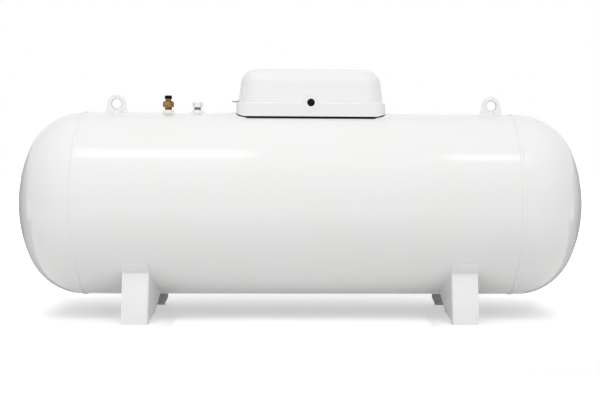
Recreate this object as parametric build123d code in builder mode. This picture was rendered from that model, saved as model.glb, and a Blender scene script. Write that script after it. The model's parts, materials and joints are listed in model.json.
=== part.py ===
from build123d import *
import os
from math import atan2, cos, degrees, radians, sin, sqrt, tan

os.makedirs("parts", exist_ok=True)

# Horizontal pressure tank on four folded legs, with a hinged hood over its valves.
# Millimetres. X runs along the tank, the front faces -Y, and Z = 0 is the floor.

# Pressure vessel
tank_radius = 500.0
wall = 6.0
ground_clearance = 115.0
tangent_x = 1190.0
crown_radius = 745.0
knuckle_radius = 310.0
weld_left_x = -1186.0
weld_right_x = 1148.0
bead_width = 26.0
bead_height = 3.0
coupling_root = 3.0
seat_gap = 0.2

# Legs, their doubler pads and foot plates
leg_left_x = -873.0
leg_right_x = 859.0
leg_width = 138.0
leg_thickness = 8.0
leg_side_inset = 67.0
leg_lean = 13.0
leg_bend_radius = 14.0
web_flare = 13.3
web_depth = 210.0
web_bevel_depth = 114.0
web_bevel_height = 53.0
web_mid_depth = 190.0
web_mid_height = 156.0
web_bevel_start = 12.0
pad_width = 142.0
pad_thickness = 6.0
pad_low_angle = 27.0
pad_high_angle = 53.5
pad_corner = 8.0
foot_thickness = 12.0
foot_depth = 60.0
anchor_hole_radius = 7.0

# Lifting lugs
lug_left_x = -1024.0
lug_right_x = 1048.0
lug_thickness = 12.0
lug_base = 121.0
lug_nose_radius = 50.0
lug_hole_radius = 27.0
lug_hole_height = 47.0
lug_notch_width = 24.0
lug_notch_height = 5.0
lug_notch_corner = 4.0

# Relief valve and plugged fitting on the crest
relief_x = -741.0
relief_coupling_radius = 30.5
relief_coupling_height = 14.0
relief_stem_radius = 21.0
relief_stem_height = 16.0
relief_hex_radius = 30.5
relief_hex_height = 30.0
relief_shoulder_height = 6.0
relief_neck_radius = 15.5
relief_neck_height = 8.0
relief_cap_radius = 20.0
relief_cap_height = 20.0
relief_cap_round = 2.5
plug_x = -580.0
plug_coupling_radius = 28.0
plug_coupling_flare = 5.0
plug_coupling_height = 14.0
plug_neck_radius = 19.0
plug_neck_height = 15.0
plug_hex_radius = 28.0
plug_hex_height = 27.0

# Hood over the valves
hood_x = 44.0
hood_length = 812.0
hood_depth = 360.0
hood_corner = 75.0
hood_wall = 4.0
hood_edge_drop = 21.0
band_height = 74.5
ledge_step = 9.0
ledge_round = 7.0
dome_height = 186.5
dome_corner = 120.0
dome_draft = 7.5
dome_round = 90.0
hood_shell_gap = 10.5

# Lock on the hood's front
boss_radius = 46.0
boss_proud = 4.0
lock_radius = 20.8
lock_clearance = 0.2
lock_recess = 5.0
lock_length = 44.0
cam_thickness = 4.0
cam_width = 25.0
cam_drop = 46.0

# Pin on the hood's left end
stay_pin_radius = 4.5
stay_pin_reach = 38.0
stay_pin_inner = 20.0
stay_washer_radius = 9.0
stay_washer_thickness = 3.0

# Collar and rubber strip that the hood closes over
collar_gap = 16.0
collar_wall = 3.0
collar_height = 20.0
collar_corner = 70.0
flange_thickness = 3.0
flange_edge_inset = 6.0
flange_end_reach = 30.0
flange_corner = 50.0
gasket_width = 8.0
gasket_height = 13.0
gasket_foot = 1.8
gasket_edge_inset = 1.0

# Hinges at the back of the hood
hinge_spread = 230.0
hinge_reach = 25.0
hinge_rise = 11.0
hinge_pin_radius = 5.0
hinge_bore_gap = 0.2
knuckle_outer_radius = 9.5
knuckle_length = 30.0
knuckle_side_gap = 1.0
ear_thickness = 6.0
ear_foot_width = 30.0
strap_thickness = 4.0
strap_height = 46.0
strap_web = 8.0
hinge_base_thickness = 5.0
hinge_base_overhang = 6.0
pin_head_radius = 8.0
pin_head_thickness = 3.0

# Valves under the hood
gauge_offset = -230.0
fill_offset = -30.0
service_offset = 190.0
coupling_radius = 38.0
coupling_height = 20.0
gauge_flange_radius = 44.0
gauge_flange_thickness = 12.0
gauge_bolt_circle = 32.0
gauge_bolt_radius = 4.0
gauge_bolt_height = 5.0
dial_radius = 24.0
dial_height = 14.0
dial_round = 2.0
fill_hex_radius = 32.0
fill_hex_height = 34.0
fill_neck_radius = 22.0
fill_neck_height = 26.0
fill_cap_radius = 32.0
fill_cap_height = 34.0
fill_cap_chamfer = 2.8
service_body_radius = 20.0
service_body_height = 78.0
service_hex_radius = 30.0
service_hex_height = 24.0
service_outlet_radius = 15.0
service_outlet_reach = 62.0
service_outlet_height = 50.0
spindle_radius = 6.0
spindle_height = 16.0
handwheel_radius = 34.0
handwheel_thickness = 12.0
handwheel_scallops = 6
handwheel_scallop_radius = 7.0
manometer_radius = 25.0
manometer_thickness = 22.0
manometer_stem_radius = 7.0
manometer_stem_reach = 24.0

# Places worked out from the sizes above
axis_height = tank_radius + ground_clearance
leg_outer_y = tank_radius - leg_side_inset
crest_z = axis_height + tank_radius
hood_low_z = crest_z - hood_edge_drop
ledge_z = hood_low_z + band_height
hood_top_z = ledge_z + dome_height
collar_top_z = crest_z + collar_height
gasket_top_z = crest_z + gasket_height
hinge_y = hood_depth / 2 + hinge_reach
hinge_z = hood_low_z + hinge_rise
gauge_x = hood_x + gauge_offset
fill_x = hood_x + fill_offset
service_x = hood_x + service_offset
pad_outer_radius = tank_radius + seat_gap + pad_thickness
hinge_sides = {"left": -1, "right": 1}
leg_places = {"left": (leg_left_x, 1), "right": (leg_right_x, -1)}
leg_rows = {"front": 1, "rear": -1}
tank_axis = Axis((0, 0, axis_height), (1, 0, 0))
section_plane = Plane(origin=(0, 0, axis_height), x_dir=(1, 0, 0), z_dir=(0, -1, 0))


def save(piece, name):
    """Label a finished piece and write it to its own file."""
    piece.part.label = name
    export_step(piece.part, f"parts/{name}.step")


def clear_shell(radius, centre_x, length):
    """Cut the open part block away inside this radius about the tank's axis."""
    with Locations((centre_x, 0, axis_height)):
        Cylinder(radius, length, rotation=(0, 90, 0), mode=Mode.SUBTRACT)


def shell_strip(radius, thickness, low_angle, high_angle, centre_x, width):
    """Add a rolled strip on the shell between two angles, counted from +Y towards +Z."""
    middle = (0, axis_height)
    turn = high_angle - low_angle
    with BuildSketch(Plane.YZ.offset(centre_x - width / 2)) as section:
        with BuildLine():
            inner = CenterArc(middle, radius, low_angle, turn)
            outer = CenterArc(middle, radius + thickness, low_angle, turn)
            Line(inner @ 0, outer @ 0)
            Line(inner @ 1, outer @ 1)
        make_face()
    extrude(section.sketch, amount=width)


# Barrel: a rolled steel tube between the two girth welds
with BuildPart() as barrel:
    with BuildSketch(Plane.YZ.offset(weld_left_x)):
        with Locations((0, axis_height)):
            Circle(tank_radius)
            Circle(tank_radius - wall, mode=Mode.SUBTRACT)
    extrude(amount=weld_right_x - weld_left_x)
save(barrel, "barrel")


def dished_outline(weld_x, side, inset):
    """Draw half a dished end from its weld to the tank's axis, moved in by inset."""
    centre_reach = sqrt((crown_radius - knuckle_radius) ** 2 - (tank_radius - knuckle_radius) ** 2)
    turn = atan2(tank_radius - knuckle_radius, centre_reach)
    knuckle = knuckle_radius - inset
    crown = crown_radius - inset
    crown_x = tangent_x - centre_reach
    edge = (weld_x, tank_radius - inset)
    tangent = (side * tangent_x, tank_radius - inset)
    half_knuckle = (radians(90) + turn) / 2
    knuckle_middle = (
        side * (tangent_x + knuckle * cos(half_knuckle)),
        tank_radius - knuckle_radius + knuckle * sin(half_knuckle),
    )
    join = (side * (crown_x + crown * cos(turn)), crown * sin(turn))
    crown_middle = (side * (crown_x + crown * cos(turn / 2)), crown * sin(turn / 2))
    tip = (side * (crown_x + crown), 0)
    Line(edge, tangent)
    ThreePointArc(tangent, knuckle_middle, join)
    ThreePointArc(join, crown_middle, tip)
    return edge, tip


# Dished ends: pressed heads with a short straight edge, butted against the barrel
for name, weld_x, side in (("left", weld_left_x, -1), ("right", weld_right_x, 1)):
    with BuildPart() as head:
        with BuildSketch(section_plane):
            with BuildLine():
                outer_edge, outer_tip = dished_outline(weld_x, side, 0)
                inner_edge, inner_tip = dished_outline(weld_x, side, wall)
                Line(outer_edge, inner_edge)
                Line(outer_tip, inner_tip)
            make_face()
        revolve(axis=tank_axis)
    save(head, f"head_{name}")

    # Girth weld: a low rounded bead over the butt joint
    bead_inner = tank_radius + seat_gap
    with BuildPart() as girth_weld:
        with BuildSketch(section_plane):
            with BuildLine():
                bead_start = (weld_x - bead_width / 2, bead_inner)
                bead_end = (weld_x + bead_width / 2, bead_inner)
                ThreePointArc(bead_start, (weld_x, bead_inner + bead_height), bead_end)
                Line(bead_end, bead_start)
            make_face()
        revolve(axis=tank_axis)
    save(girth_weld, f"girth_weld_{name}")


def leg_y(depth, height, row):
    """Return Y at a depth behind a leg's outer face, at a height above the floor."""
    return -row * (leg_outer_y - height * tan(radians(leg_lean)) - depth)


for row_name, row in leg_rows.items():
    for side_name, (leg_x, inward) in leg_places.items():
        place = f"{row_name}_{side_name}"

        # Doubler pad: a rolled plate welded to the shell above each leg
        low_turn = 270 - row * pad_low_angle
        high_turn = 270 - row * pad_high_angle
        with BuildPart() as pad:
            shell_strip(
                tank_radius + seat_gap,
                pad_thickness,
                min(low_turn, high_turn),
                max(low_turn, high_turn),
                leg_x,
                pad_width,
            )
            short_edges = pad.edges().filter_by(lambda edge: abs(edge.length - pad_thickness) < 0.01)
            fillet(short_edges, radius=pad_corner)
        save(pad, f"leg_pad_{place}")

        # Foot plate: a flat bar under the leg with an anchor hole
        foot_middle_y = -row * (leg_outer_y - foot_depth / 2)
        with BuildPart() as foot:
            with BuildSketch(Plane.XY):
                with Locations((leg_x, foot_middle_y)):
                    Rectangle(leg_width, foot_depth)
                    Circle(anchor_hole_radius, mode=Mode.SUBTRACT)
            extrude(amount=foot_thickness)
        save(foot, f"foot_plate_{place}")

        # Leg: one plate folded into a front face and a flared inner web, leaning in as it rises
        leg_plane = Plane(
            origin=(leg_x, leg_y(0, foot_thickness, row), foot_thickness),
            x_dir=(inward, 0, 0),
            z_dir=(0, 0, inward * row),
        )
        web_end = (
            leg_width / 2 + web_depth * tan(radians(web_flare)),
            web_depth,
        )
        lean_direction = (0, row * sin(radians(leg_lean)), cos(radians(leg_lean)))
        leg_rise = axis_height - tank_radius / 2
        with BuildPart() as leg:
            with BuildSketch(leg_plane):
                with BuildLine():
                    FilletPolyline(
                        (-leg_width / 2, 0),
                        (leg_width / 2, 0),
                        web_end,
                        radius=leg_bend_radius,
                    )
                    offset(amount=leg_thickness, side=Side.LEFT)
                make_face()
            extrude(amount=leg_rise / cos(radians(leg_lean)), dir=lean_direction)
            with BuildSketch(Plane.YZ.offset(leg_x - leg_width * 2)):
                with BuildLine():
                    Polyline(
                        (leg_y(web_bevel_start, 0, row), 0),
                        (leg_y(web_bevel_start, foot_thickness, row), foot_thickness),
                        (leg_y(web_bevel_depth, web_bevel_height, row), web_bevel_height),
                        (leg_y(web_mid_depth, web_mid_height, row), web_mid_height),
                        (leg_y(web_depth * 2, web_mid_height * 2, row), web_mid_height * 2),
                        (leg_y(web_depth * 2, 0, row), 0),
                        close=True,
                    )
                make_face()
            extrude(amount=leg_width * 4, mode=Mode.SUBTRACT)
            clear_shell(pad_outer_radius + seat_gap, leg_x, pad_width + 2 * seat_gap)
            clear_shell(tank_radius + seat_gap, leg_x, leg_width * 4)
        save(leg, f"leg_{place}")


# Lifting lugs: upright plates on the crest, each with a shackle hole and a drain notch
for name, lug_x in (("left", lug_left_x), ("right", lug_right_x)):
    lug_plane = Plane(origin=(lug_x, 0, crest_z), x_dir=(1, 0, 0), z_dir=(0, -1, 0))
    with BuildPart() as lug:
        with BuildSketch(lug_plane):
            with Locations((0, lug_hole_height)):
                Circle(lug_nose_radius)
            Rectangle(lug_base, seat_gap * 10)
            make_hull()
            with Locations((0, lug_hole_height)):
                Circle(lug_hole_radius, mode=Mode.SUBTRACT)
            RectangleRounded(
                lug_notch_width, 2 * lug_notch_height, lug_notch_corner, mode=Mode.SUBTRACT
            )
        extrude(amount=lug_thickness / 2, both=True)
        clear_shell(tank_radius + seat_gap, lug_x, lug_base * 2)
    save(lug, f"lifting_lug_{name}")


def round_post(x, low, height, radius):
    """Add an upright round post at this place on the crest."""
    with BuildSketch(Plane.XY.offset(low)) as section:
        with Locations((x, 0)):
            Circle(radius)
    extrude(section.sketch, amount=height)


def hex_post(x, low, height, radius):
    """Add an upright hexagon with a flat side to the front."""
    with BuildSketch(Plane.XY.offset(low)) as section:
        with Locations((x, 0)):
            RegularPolygon(radius, 6)
    extrude(section.sketch, amount=height)


# Relief valve: a welded coupling, a brass body and a loose rain cap
relief_seat_z = crest_z + relief_coupling_height
with BuildPart() as relief_coupling:
    relief_root_z = crest_z - coupling_root
    round_post(relief_x, relief_root_z, relief_seat_z - relief_root_z, relief_coupling_radius)
    clear_shell(tank_radius + seat_gap, relief_x, relief_coupling_radius * 4)
save(relief_coupling, "relief_coupling")

relief_hex_z = relief_seat_z + relief_stem_height
relief_shoulder_z = relief_hex_z + relief_hex_height
relief_neck_z = relief_shoulder_z + relief_shoulder_height
relief_cap_z = relief_neck_z + relief_neck_height
with BuildPart() as relief_valve:
    round_post(relief_x, relief_seat_z, relief_stem_height, relief_stem_radius)
    hex_post(relief_x, relief_hex_z, relief_hex_height, relief_hex_radius)
    with Locations((relief_x, 0, relief_shoulder_z + relief_shoulder_height / 2)):
        Cone(
            relief_hex_radius * cos(radians(30)),
            relief_neck_radius,
            relief_shoulder_height,
        )
    round_post(relief_x, relief_neck_z, relief_neck_height, relief_neck_radius)
save(relief_valve, "relief_valve")

with BuildPart() as relief_cap:
    round_post(relief_x, relief_cap_z, relief_cap_height, relief_cap_radius)
    fillet(relief_cap.edges().group_by(Axis.Z)[-1], radius=relief_cap_round)
save(relief_cap, "relief_cap")

# Plugged fitting: a welded coupling closed by a hexagon plug
plug_seat_z = crest_z + plug_coupling_height
with BuildPart() as plug_coupling:
    with Locations((plug_x, 0, crest_z + plug_coupling_height / 2 - coupling_root / 2)):
        Cone(
            plug_coupling_radius + plug_coupling_flare,
            plug_coupling_radius,
            plug_coupling_height + coupling_root,
        )
    clear_shell(tank_radius + seat_gap, plug_x, plug_coupling_radius * 4)
save(plug_coupling, "plug_coupling")

with BuildPart() as plug:
    round_post(plug_x, plug_seat_z, plug_neck_height, plug_neck_radius)
    hex_post(plug_x, plug_seat_z + plug_neck_height, plug_hex_height, plug_hex_radius)
save(plug, "plug")


def hood_form(inset, low_z):
    """Return the hood's form moved in by inset: an upright band, a ledge and a drafted dome."""
    step_z = ledge_z - inset
    top_z = hood_top_z - inset
    band_size = (hood_length - 2 * inset, hood_depth - 2 * inset)
    dome_size = (band_size[0] - 2 * ledge_step, band_size[1] - 2 * ledge_step)
    with BuildPart() as form:
        with BuildSketch(Plane.XY.offset(low_z)):
            with Locations((hood_x, 0)):
                RectangleRounded(*band_size, hood_corner - inset)
        extrude(amount=step_z - low_z)
        fillet(form.edges().group_by(Axis.Z)[-1], radius=ledge_round)
        with BuildSketch(Plane.XY.offset(step_z)):
            with Locations((hood_x, 0)):
                RectangleRounded(*dome_size, dome_corner - inset)
        extrude(amount=top_z - step_z, taper=dome_draft)
        fillet(form.edges().group_by(Axis.Z)[-1], radius=dome_round - inset)
    return form.part


lock_plane = Plane(origin=(hood_x, 0, ledge_z), x_dir=(1, 0, 0), z_dir=(0, -1, 0))
hood_front = hood_depth / 2
stay_wall_x = hood_x - hood_length / 2 + ledge_step
stay_pin_z = ledge_z + stay_washer_radius + seat_gap
hood_outside = hood_form(0, hood_low_z)
hood_inside = hood_form(hood_wall, hood_low_z - hood_wall)

# Hood: a moulded cover, open below and cut to the curve of the shell
with BuildPart() as hood:
    add(hood_outside)
    with BuildSketch(lock_plane.offset(hood_front - collar_gap)):
        Circle(boss_radius)
    extrude(amount=collar_gap + boss_proud)
    add(hood_inside, mode=Mode.SUBTRACT)
    with BuildSketch(lock_plane):
        Circle(lock_radius + lock_clearance)
    extrude(amount=hood_depth, mode=Mode.SUBTRACT)
    with Locations((stay_wall_x, 0, stay_pin_z)):
        Cylinder(
            stay_pin_radius + seat_gap,
            ledge_step * 4,
            rotation=(0, 90, 0),
            mode=Mode.SUBTRACT,
        )
    clear_shell(tank_radius + hood_shell_gap, hood_x, hood_length * 2)
save(hood, "hood")

# Lock barrel: a plastic cylinder set back in the boss
lock_face = hood_front + boss_proud - lock_recess
with BuildPart() as lock_barrel:
    with BuildSketch(lock_plane.offset(lock_face - lock_length)):
        Circle(lock_radius)
    extrude(amount=lock_length)
save(lock_barrel, "lock_barrel")

# Lock cam: a steel tongue on the back of the barrel, behind the collar
with BuildPart() as lock_cam:
    with BuildSketch(lock_plane.offset(lock_face - lock_length - cam_thickness)):
        Circle(cam_width / 2)
        with Locations((0, -cam_drop / 2)):
            Rectangle(cam_width, cam_drop)
    extrude(amount=cam_thickness)
save(lock_cam, "lock_cam")

# Stay pin: a bolt through the hood's left end
with BuildPart() as stay_pin:
    with BuildSketch(Plane.YZ.offset(stay_wall_x + stay_pin_inner)):
        with Locations((0, stay_pin_z)):
            Circle(stay_pin_radius)
    extrude(amount=-(stay_pin_inner + stay_pin_reach))
    with BuildSketch(Plane.YZ.offset(stay_wall_x - seat_gap)):
        with Locations((0, stay_pin_z)):
            Circle(stay_washer_radius)
    extrude(amount=-stay_washer_thickness)
save(stay_pin, "stay_pin")

collar_length = hood_length - 2 * (hood_wall + collar_gap)
collar_depth = hood_depth - 2 * (hood_wall + collar_gap)
flange_length = hood_length + 2 * flange_end_reach
flange_depth = hood_depth - 2 * flange_edge_inset
flange_radius = tank_radius + seat_gap + flange_thickness

# Hood collar: an upright steel rim with a rolled flange, welded to the shell
with BuildPart() as hood_collar:
    with BuildSketch(Plane.XY.offset(axis_height)):
        with Locations((hood_x, 0)):
            RectangleRounded(flange_length, flange_depth, flange_corner)
    extrude(amount=tank_radius + 2 * flange_thickness)
    with Locations((hood_x, 0, axis_height)):
        Cylinder(flange_radius, flange_length * 2, rotation=(0, 90, 0), mode=Mode.INTERSECT)
    with BuildSketch(Plane.XY.offset(axis_height)):
        with Locations((hood_x, 0)):
            RectangleRounded(collar_length, collar_depth, collar_corner)
    extrude(amount=collar_top_z - axis_height)
    with BuildSketch(Plane.XY.offset(axis_height)):
        with Locations((hood_x, 0)):
            RectangleRounded(
                collar_length - 2 * collar_wall,
                collar_depth - 2 * collar_wall,
                collar_corner - collar_wall,
            )
    extrude(amount=collar_top_z - axis_height, mode=Mode.SUBTRACT)
    clear_shell(tank_radius + seat_gap, hood_x, flange_length * 2)
save(hood_collar, "hood_collar")

with BuildPart() as flange_room:
    with BuildSketch(Plane.XY.offset(axis_height)):
        with Locations((hood_x, 0)):
            RectangleRounded(
                flange_length + 2 * seat_gap,
                flange_depth + 2 * seat_gap,
                flange_corner + seat_gap,
            )
    extrude(amount=tank_radius + 2 * flange_thickness)
    with Locations((hood_x, 0, axis_height)):
        Cylinder(
            flange_radius + seat_gap,
            flange_length * 2,
            rotation=(0, 90, 0),
            mode=Mode.INTERSECT,
        )

# Gasket: a rubber strip round the collar, with a foot that laps over the flange's edge
with BuildPart() as hood_gasket:
    with BuildSketch(Plane.XY.offset(axis_height)):
        with Locations((hood_x, 0)):
            RectangleRounded(
                hood_length - 2 * gasket_edge_inset,
                hood_depth - 2 * gasket_edge_inset,
                hood_corner - gasket_edge_inset,
            )
    extrude(amount=tank_radius + 2 * flange_thickness)
    with Locations((hood_x, 0, axis_height)):
        Cylinder(
            flange_radius + seat_gap + gasket_foot,
            flange_length * 2,
            rotation=(0, 90, 0),
            mode=Mode.INTERSECT,
        )
    with BuildSketch(Plane.XY.offset(axis_height)):
        with Locations((hood_x, 0)):
            RectangleRounded(
                collar_length + 2 * gasket_width,
                collar_depth + 2 * gasket_width,
                collar_corner + gasket_width,
            )
    extrude(amount=gasket_top_z - axis_height)
    with BuildSketch(Plane.XY.offset(axis_height)):
        with Locations((hood_x, 0)):
            RectangleRounded(
                collar_length + 2 * seat_gap,
                collar_depth + 2 * seat_gap,
                collar_corner + seat_gap,
            )
    extrude(amount=gasket_top_z - axis_height, mode=Mode.SUBTRACT)
    add(flange_room.part, mode=Mode.SUBTRACT)
    clear_shell(tank_radius + seat_gap, hood_x, flange_length * 2)
save(hood_gasket, "hood_gasket")

ear_offset = knuckle_length / 2 + knuckle_side_gap
bracket_width = 2 * (ear_offset + ear_thickness + hinge_base_overhang)
base_angle = degrees(atan2(sqrt(tank_radius**2 - hinge_y**2), hinge_y))
base_half_turn = degrees(ear_foot_width / 2 / tank_radius)
ear_foot_z = axis_height + sqrt(tank_radius**2 - (hinge_y + ear_foot_width / 2) ** 2)
for name, side in hinge_sides.items():
    hinge_x = hood_x + side * hinge_spread

    # Hinge bracket: two ears on a rolled base, welded to the shell
    with BuildPart() as hinge_bracket:
        shell_strip(
            tank_radius + seat_gap,
            hinge_base_thickness,
            base_angle - base_half_turn,
            base_angle + base_half_turn,
            hinge_x,
            bracket_width,
        )
        for ear_side in (-1, 1):
            ear_x = hinge_x + ear_side * (ear_offset + ear_thickness / 2) - ear_thickness / 2
            with BuildSketch(Plane.YZ.offset(ear_x)):
                with Locations((hinge_y, hinge_z)):
                    Circle(knuckle_outer_radius)
                with Locations((hinge_y, ear_foot_z)):
                    Rectangle(ear_foot_width, seat_gap * 10)
                make_hull()
                with Locations((hinge_y, hinge_z)):
                    Circle(hinge_pin_radius + hinge_bore_gap, mode=Mode.SUBTRACT)
            extrude(amount=ear_thickness)
        clear_shell(tank_radius + seat_gap, hinge_x, bracket_width * 2)
    save(hinge_bracket, f"hinge_bracket_{name}")

    # Hinge pin: a round pin through both ears, with a flat head
    pin_length = 2 * (ear_offset + ear_thickness) + pin_head_thickness
    with BuildPart() as hinge_pin:
        with BuildSketch(Plane.YZ.offset(hinge_x - ear_offset - ear_thickness)):
            with Locations((hinge_y, hinge_z)):
                Circle(hinge_pin_radius)
        extrude(amount=pin_length)
        with BuildSketch(Plane.YZ.offset(hinge_x - ear_offset - ear_thickness)):
            with Locations((hinge_y, hinge_z)):
                Circle(pin_head_radius)
        extrude(amount=-pin_head_thickness)
    save(hinge_pin, f"hinge_pin_{name}")

    # Hood strap: a plate on the hood's back with a knuckle round the pin
    with BuildPart() as hood_strap:
        with BuildSketch(Plane.YZ.offset(hinge_x - knuckle_length / 2)):
            with Locations((hood_front + strap_thickness / 2, hinge_z + strap_height / 2 - strap_web / 2)):
                Rectangle(strap_thickness, strap_height)
            with Locations(((hood_front + hinge_y) / 2, hinge_z)):
                Rectangle(hinge_y - hood_front, strap_web)
            with Locations((hinge_y, hinge_z)):
                Circle(knuckle_outer_radius)
                Circle(hinge_pin_radius + hinge_bore_gap, mode=Mode.SUBTRACT)
        extrude(amount=knuckle_length)
    save(hood_strap, f"hood_strap_{name}")

# Valve couplings: short sockets welded along the crest under the hood
coupling_top_z = crest_z + coupling_height
with BuildPart() as valve_couplings:
    for coupling_x in (gauge_x, fill_x, service_x):
        round_post(coupling_x, crest_z - coupling_root, coupling_height + coupling_root, coupling_radius)
    clear_shell(tank_radius + seat_gap, hood_x, hood_length)
save(valve_couplings, "valve_couplings")

# Contents gauge: a bolted flange with a round dial on top
gauge_face_z = coupling_top_z + gauge_flange_thickness
with BuildPart() as gauge_flange:
    round_post(gauge_x, coupling_top_z, gauge_flange_thickness, gauge_flange_radius)
    with BuildSketch(Plane.XY.offset(gauge_face_z)):
        with Locations((gauge_x, 0)):
            with PolarLocations(gauge_bolt_circle, 4, start_angle=45):
                RegularPolygon(gauge_bolt_radius, 6)
    extrude(amount=gauge_bolt_height)
save(gauge_flange, "gauge_flange")

with BuildPart() as gauge_dial:
    round_post(gauge_x, gauge_face_z, dial_height, dial_radius)
    fillet(gauge_dial.edges().group_by(Axis.Z)[-1], radius=dial_round)
save(gauge_dial, "gauge_dial")

# Fill valve: a brass hexagon body with a threaded neck under a screw cap
fill_neck_z = coupling_top_z + fill_hex_height
fill_cap_z = fill_neck_z + fill_neck_height
with BuildPart() as fill_valve:
    hex_post(fill_x, coupling_top_z, fill_hex_height, fill_hex_radius)
    round_post(fill_x, fill_neck_z, fill_neck_height, fill_neck_radius)
save(fill_valve, "fill_valve")

with BuildPart() as fill_cap:
    round_post(fill_x, fill_cap_z, fill_cap_height, fill_cap_radius)
    chamfer(fill_cap.edges().group_by(Axis.Z)[-1], length=fill_cap_chamfer)
save(fill_cap, "fill_cap")

# Service valve: a brass body with a side outlet, a pressure gauge and a handwheel
service_top_z = coupling_top_z + service_body_height
outlet_z = coupling_top_z + service_outlet_height
manometer_back = service_body_radius + manometer_stem_reach
with BuildPart() as service_valve:
    hex_post(service_x, coupling_top_z, service_hex_height, service_hex_radius)
    round_post(service_x, coupling_top_z, service_body_height, service_body_radius)
    round_post(service_x, service_top_z, spindle_height, spindle_radius)
    with BuildSketch(Plane.XZ.offset(-service_outlet_reach)):
        with Locations((service_x, outlet_z)):
            Circle(service_outlet_radius)
    extrude(amount=service_outlet_reach)
    with BuildSketch(Plane.XZ):
        with Locations((service_x, outlet_z)):
            Circle(manometer_stem_radius)
    extrude(amount=manometer_back)
save(service_valve, "service_valve")

with BuildPart() as service_handwheel:
    with BuildSketch(Plane.XY.offset(service_top_z + spindle_height)):
        with Locations((service_x, 0)):
            Circle(handwheel_radius)
            with PolarLocations(handwheel_radius, handwheel_scallops):
                Circle(handwheel_scallop_radius, mode=Mode.SUBTRACT)
    extrude(amount=handwheel_thickness)
save(service_handwheel, "service_handwheel")

with BuildPart() as pressure_gauge:
    with BuildSketch(Plane.XZ.offset(manometer_back)):
        with Locations((service_x, outlet_z)):
            Circle(manometer_radius)
    extrude(amount=manometer_thickness)
save(pressure_gauge, "pressure_gauge")
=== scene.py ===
import bpy
import json
from math import atan2, cos, pi, radians, sin, sqrt, tan
from mathutils import Matrix, Vector

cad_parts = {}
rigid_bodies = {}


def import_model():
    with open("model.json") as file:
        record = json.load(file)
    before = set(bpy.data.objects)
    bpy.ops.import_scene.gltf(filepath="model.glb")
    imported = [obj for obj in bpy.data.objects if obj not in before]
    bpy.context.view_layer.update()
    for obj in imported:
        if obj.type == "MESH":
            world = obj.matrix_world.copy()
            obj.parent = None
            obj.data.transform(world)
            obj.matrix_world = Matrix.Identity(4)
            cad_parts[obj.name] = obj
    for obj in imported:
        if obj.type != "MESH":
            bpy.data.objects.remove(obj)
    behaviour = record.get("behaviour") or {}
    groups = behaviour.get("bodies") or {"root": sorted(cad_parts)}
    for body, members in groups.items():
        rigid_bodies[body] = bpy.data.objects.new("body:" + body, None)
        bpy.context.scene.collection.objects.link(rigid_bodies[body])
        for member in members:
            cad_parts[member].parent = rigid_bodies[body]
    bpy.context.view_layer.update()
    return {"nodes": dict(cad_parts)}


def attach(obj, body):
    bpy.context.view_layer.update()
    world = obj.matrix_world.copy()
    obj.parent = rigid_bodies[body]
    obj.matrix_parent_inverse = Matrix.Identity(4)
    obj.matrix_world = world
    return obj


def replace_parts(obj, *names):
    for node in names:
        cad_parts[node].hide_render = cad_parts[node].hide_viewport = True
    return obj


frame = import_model()
bpy.ops.object.select_all(action="DESELECT")

# Barrel and dished ends: a rolled steel tube with a pressed head at each end.
# They are shot-blasted, primed and sprayed with white gloss enamel, so the coat has
# a fine orange peel and the plate under it is very slightly wavy.
axis_height = 0.615
tank_radius = 0.5
crest_z = axis_height + tank_radius
enamel_white = (0.86, 0.86, 0.855)
# The aged colour is taken on all over by a random film and dust, and near the ground also as
# painted shade.
enamel_aged_and_shaded = (0.80, 0.79, 0.76)
enamel_relief = 0.001
drift_scale = 2.4
speck_scale = 46.0
plate_wave_scale = 4.5
# Painted shade: at ground level the coat is blended this far towards the aged colour, fading out at
# each finish's painted-shade height.
painted_shade_at_ground = 0.55
film_age = 0.22
dust_age = 0.35


def feed(tree, socket, value):
    """Give a socket a plain value, or the link that carries one."""
    if isinstance(value, bpy.types.NodeSocket):
        tree.links.new(value, socket)
    else:
        socket.default_value = (*value, 1.0) if socket.type == "RGBA" else value


def add_node(tree, kind, values=None, **settings):
    """Add a shader node, with a number, colour or link for each named socket."""
    node = tree.nodes.new("ShaderNode" + kind)
    for name, value in settings.items():
        setattr(node, name, value)
    for name, value in (values or {}).items():
        feed(tree, node.inputs[name], value)
    return node


def new_group(name, inputs):
    """Start a skin group and return its tree, its inputs and its outputs."""
    tree = bpy.data.node_groups.new(name, "ShaderNodeTree")
    for label, start in inputs.items():
        kind = "Float" if isinstance(start, float) else "Color"
        socket = tree.interface.new_socket(label, in_out="INPUT", socket_type="NodeSocket" + kind)
        socket.default_value = start if kind == "Float" else (*start, 1.0)
    for label, kind in (("Colour", "Color"), ("Roughness", "Float"), ("Height", "Float")):
        tree.interface.new_socket(label, in_out="OUTPUT", socket_type="NodeSocket" + kind)
    return tree, tree.nodes.new("NodeGroupInput").outputs, tree.nodes.new("NodeGroupOutput").inputs


def place_on(tree):
    """Return the place on a piece."""
    return add_node(tree, "TexCoord").outputs["Object"]


def axes_of(tree):
    """Return the X, Y and Z of the place on a piece."""
    return add_node(tree, "SeparateXYZ", {0: place_on(tree)}).outputs


def noise(tree, place, scale, detail, **values):
    """Return a soft noise over a piece, with a number of finer layers in it."""
    values = {"Vector": place, "Scale": scale, "Detail": detail, **values}
    return add_node(tree, "TexNoise", values).outputs["Fac"]


def spread(tree, value, low, high, new_low, new_high, easing="LINEAR"):
    """Stretch a value from one range to another, held at both ends."""
    values = {"Value": value, "From Min": low, "From Max": high}
    values |= {"To Min": new_low, "To Max": new_high}
    return add_node(tree, "MapRange", values, interpolation_type=easing).outputs["Result"]


def blend_colours(tree, amount, first, second):
    """Mix two colours by an amount."""
    return add_node(tree, "Mix", {0: amount, 6: first, 7: second}, data_type="RGBA").outputs[2]


def maths(tree, operation, first, second=0.0):
    """Work out a sum, product or other step on two values."""
    return add_node(tree, "Math", {0: first, 1: second}, operation=operation).outputs[0]


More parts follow.
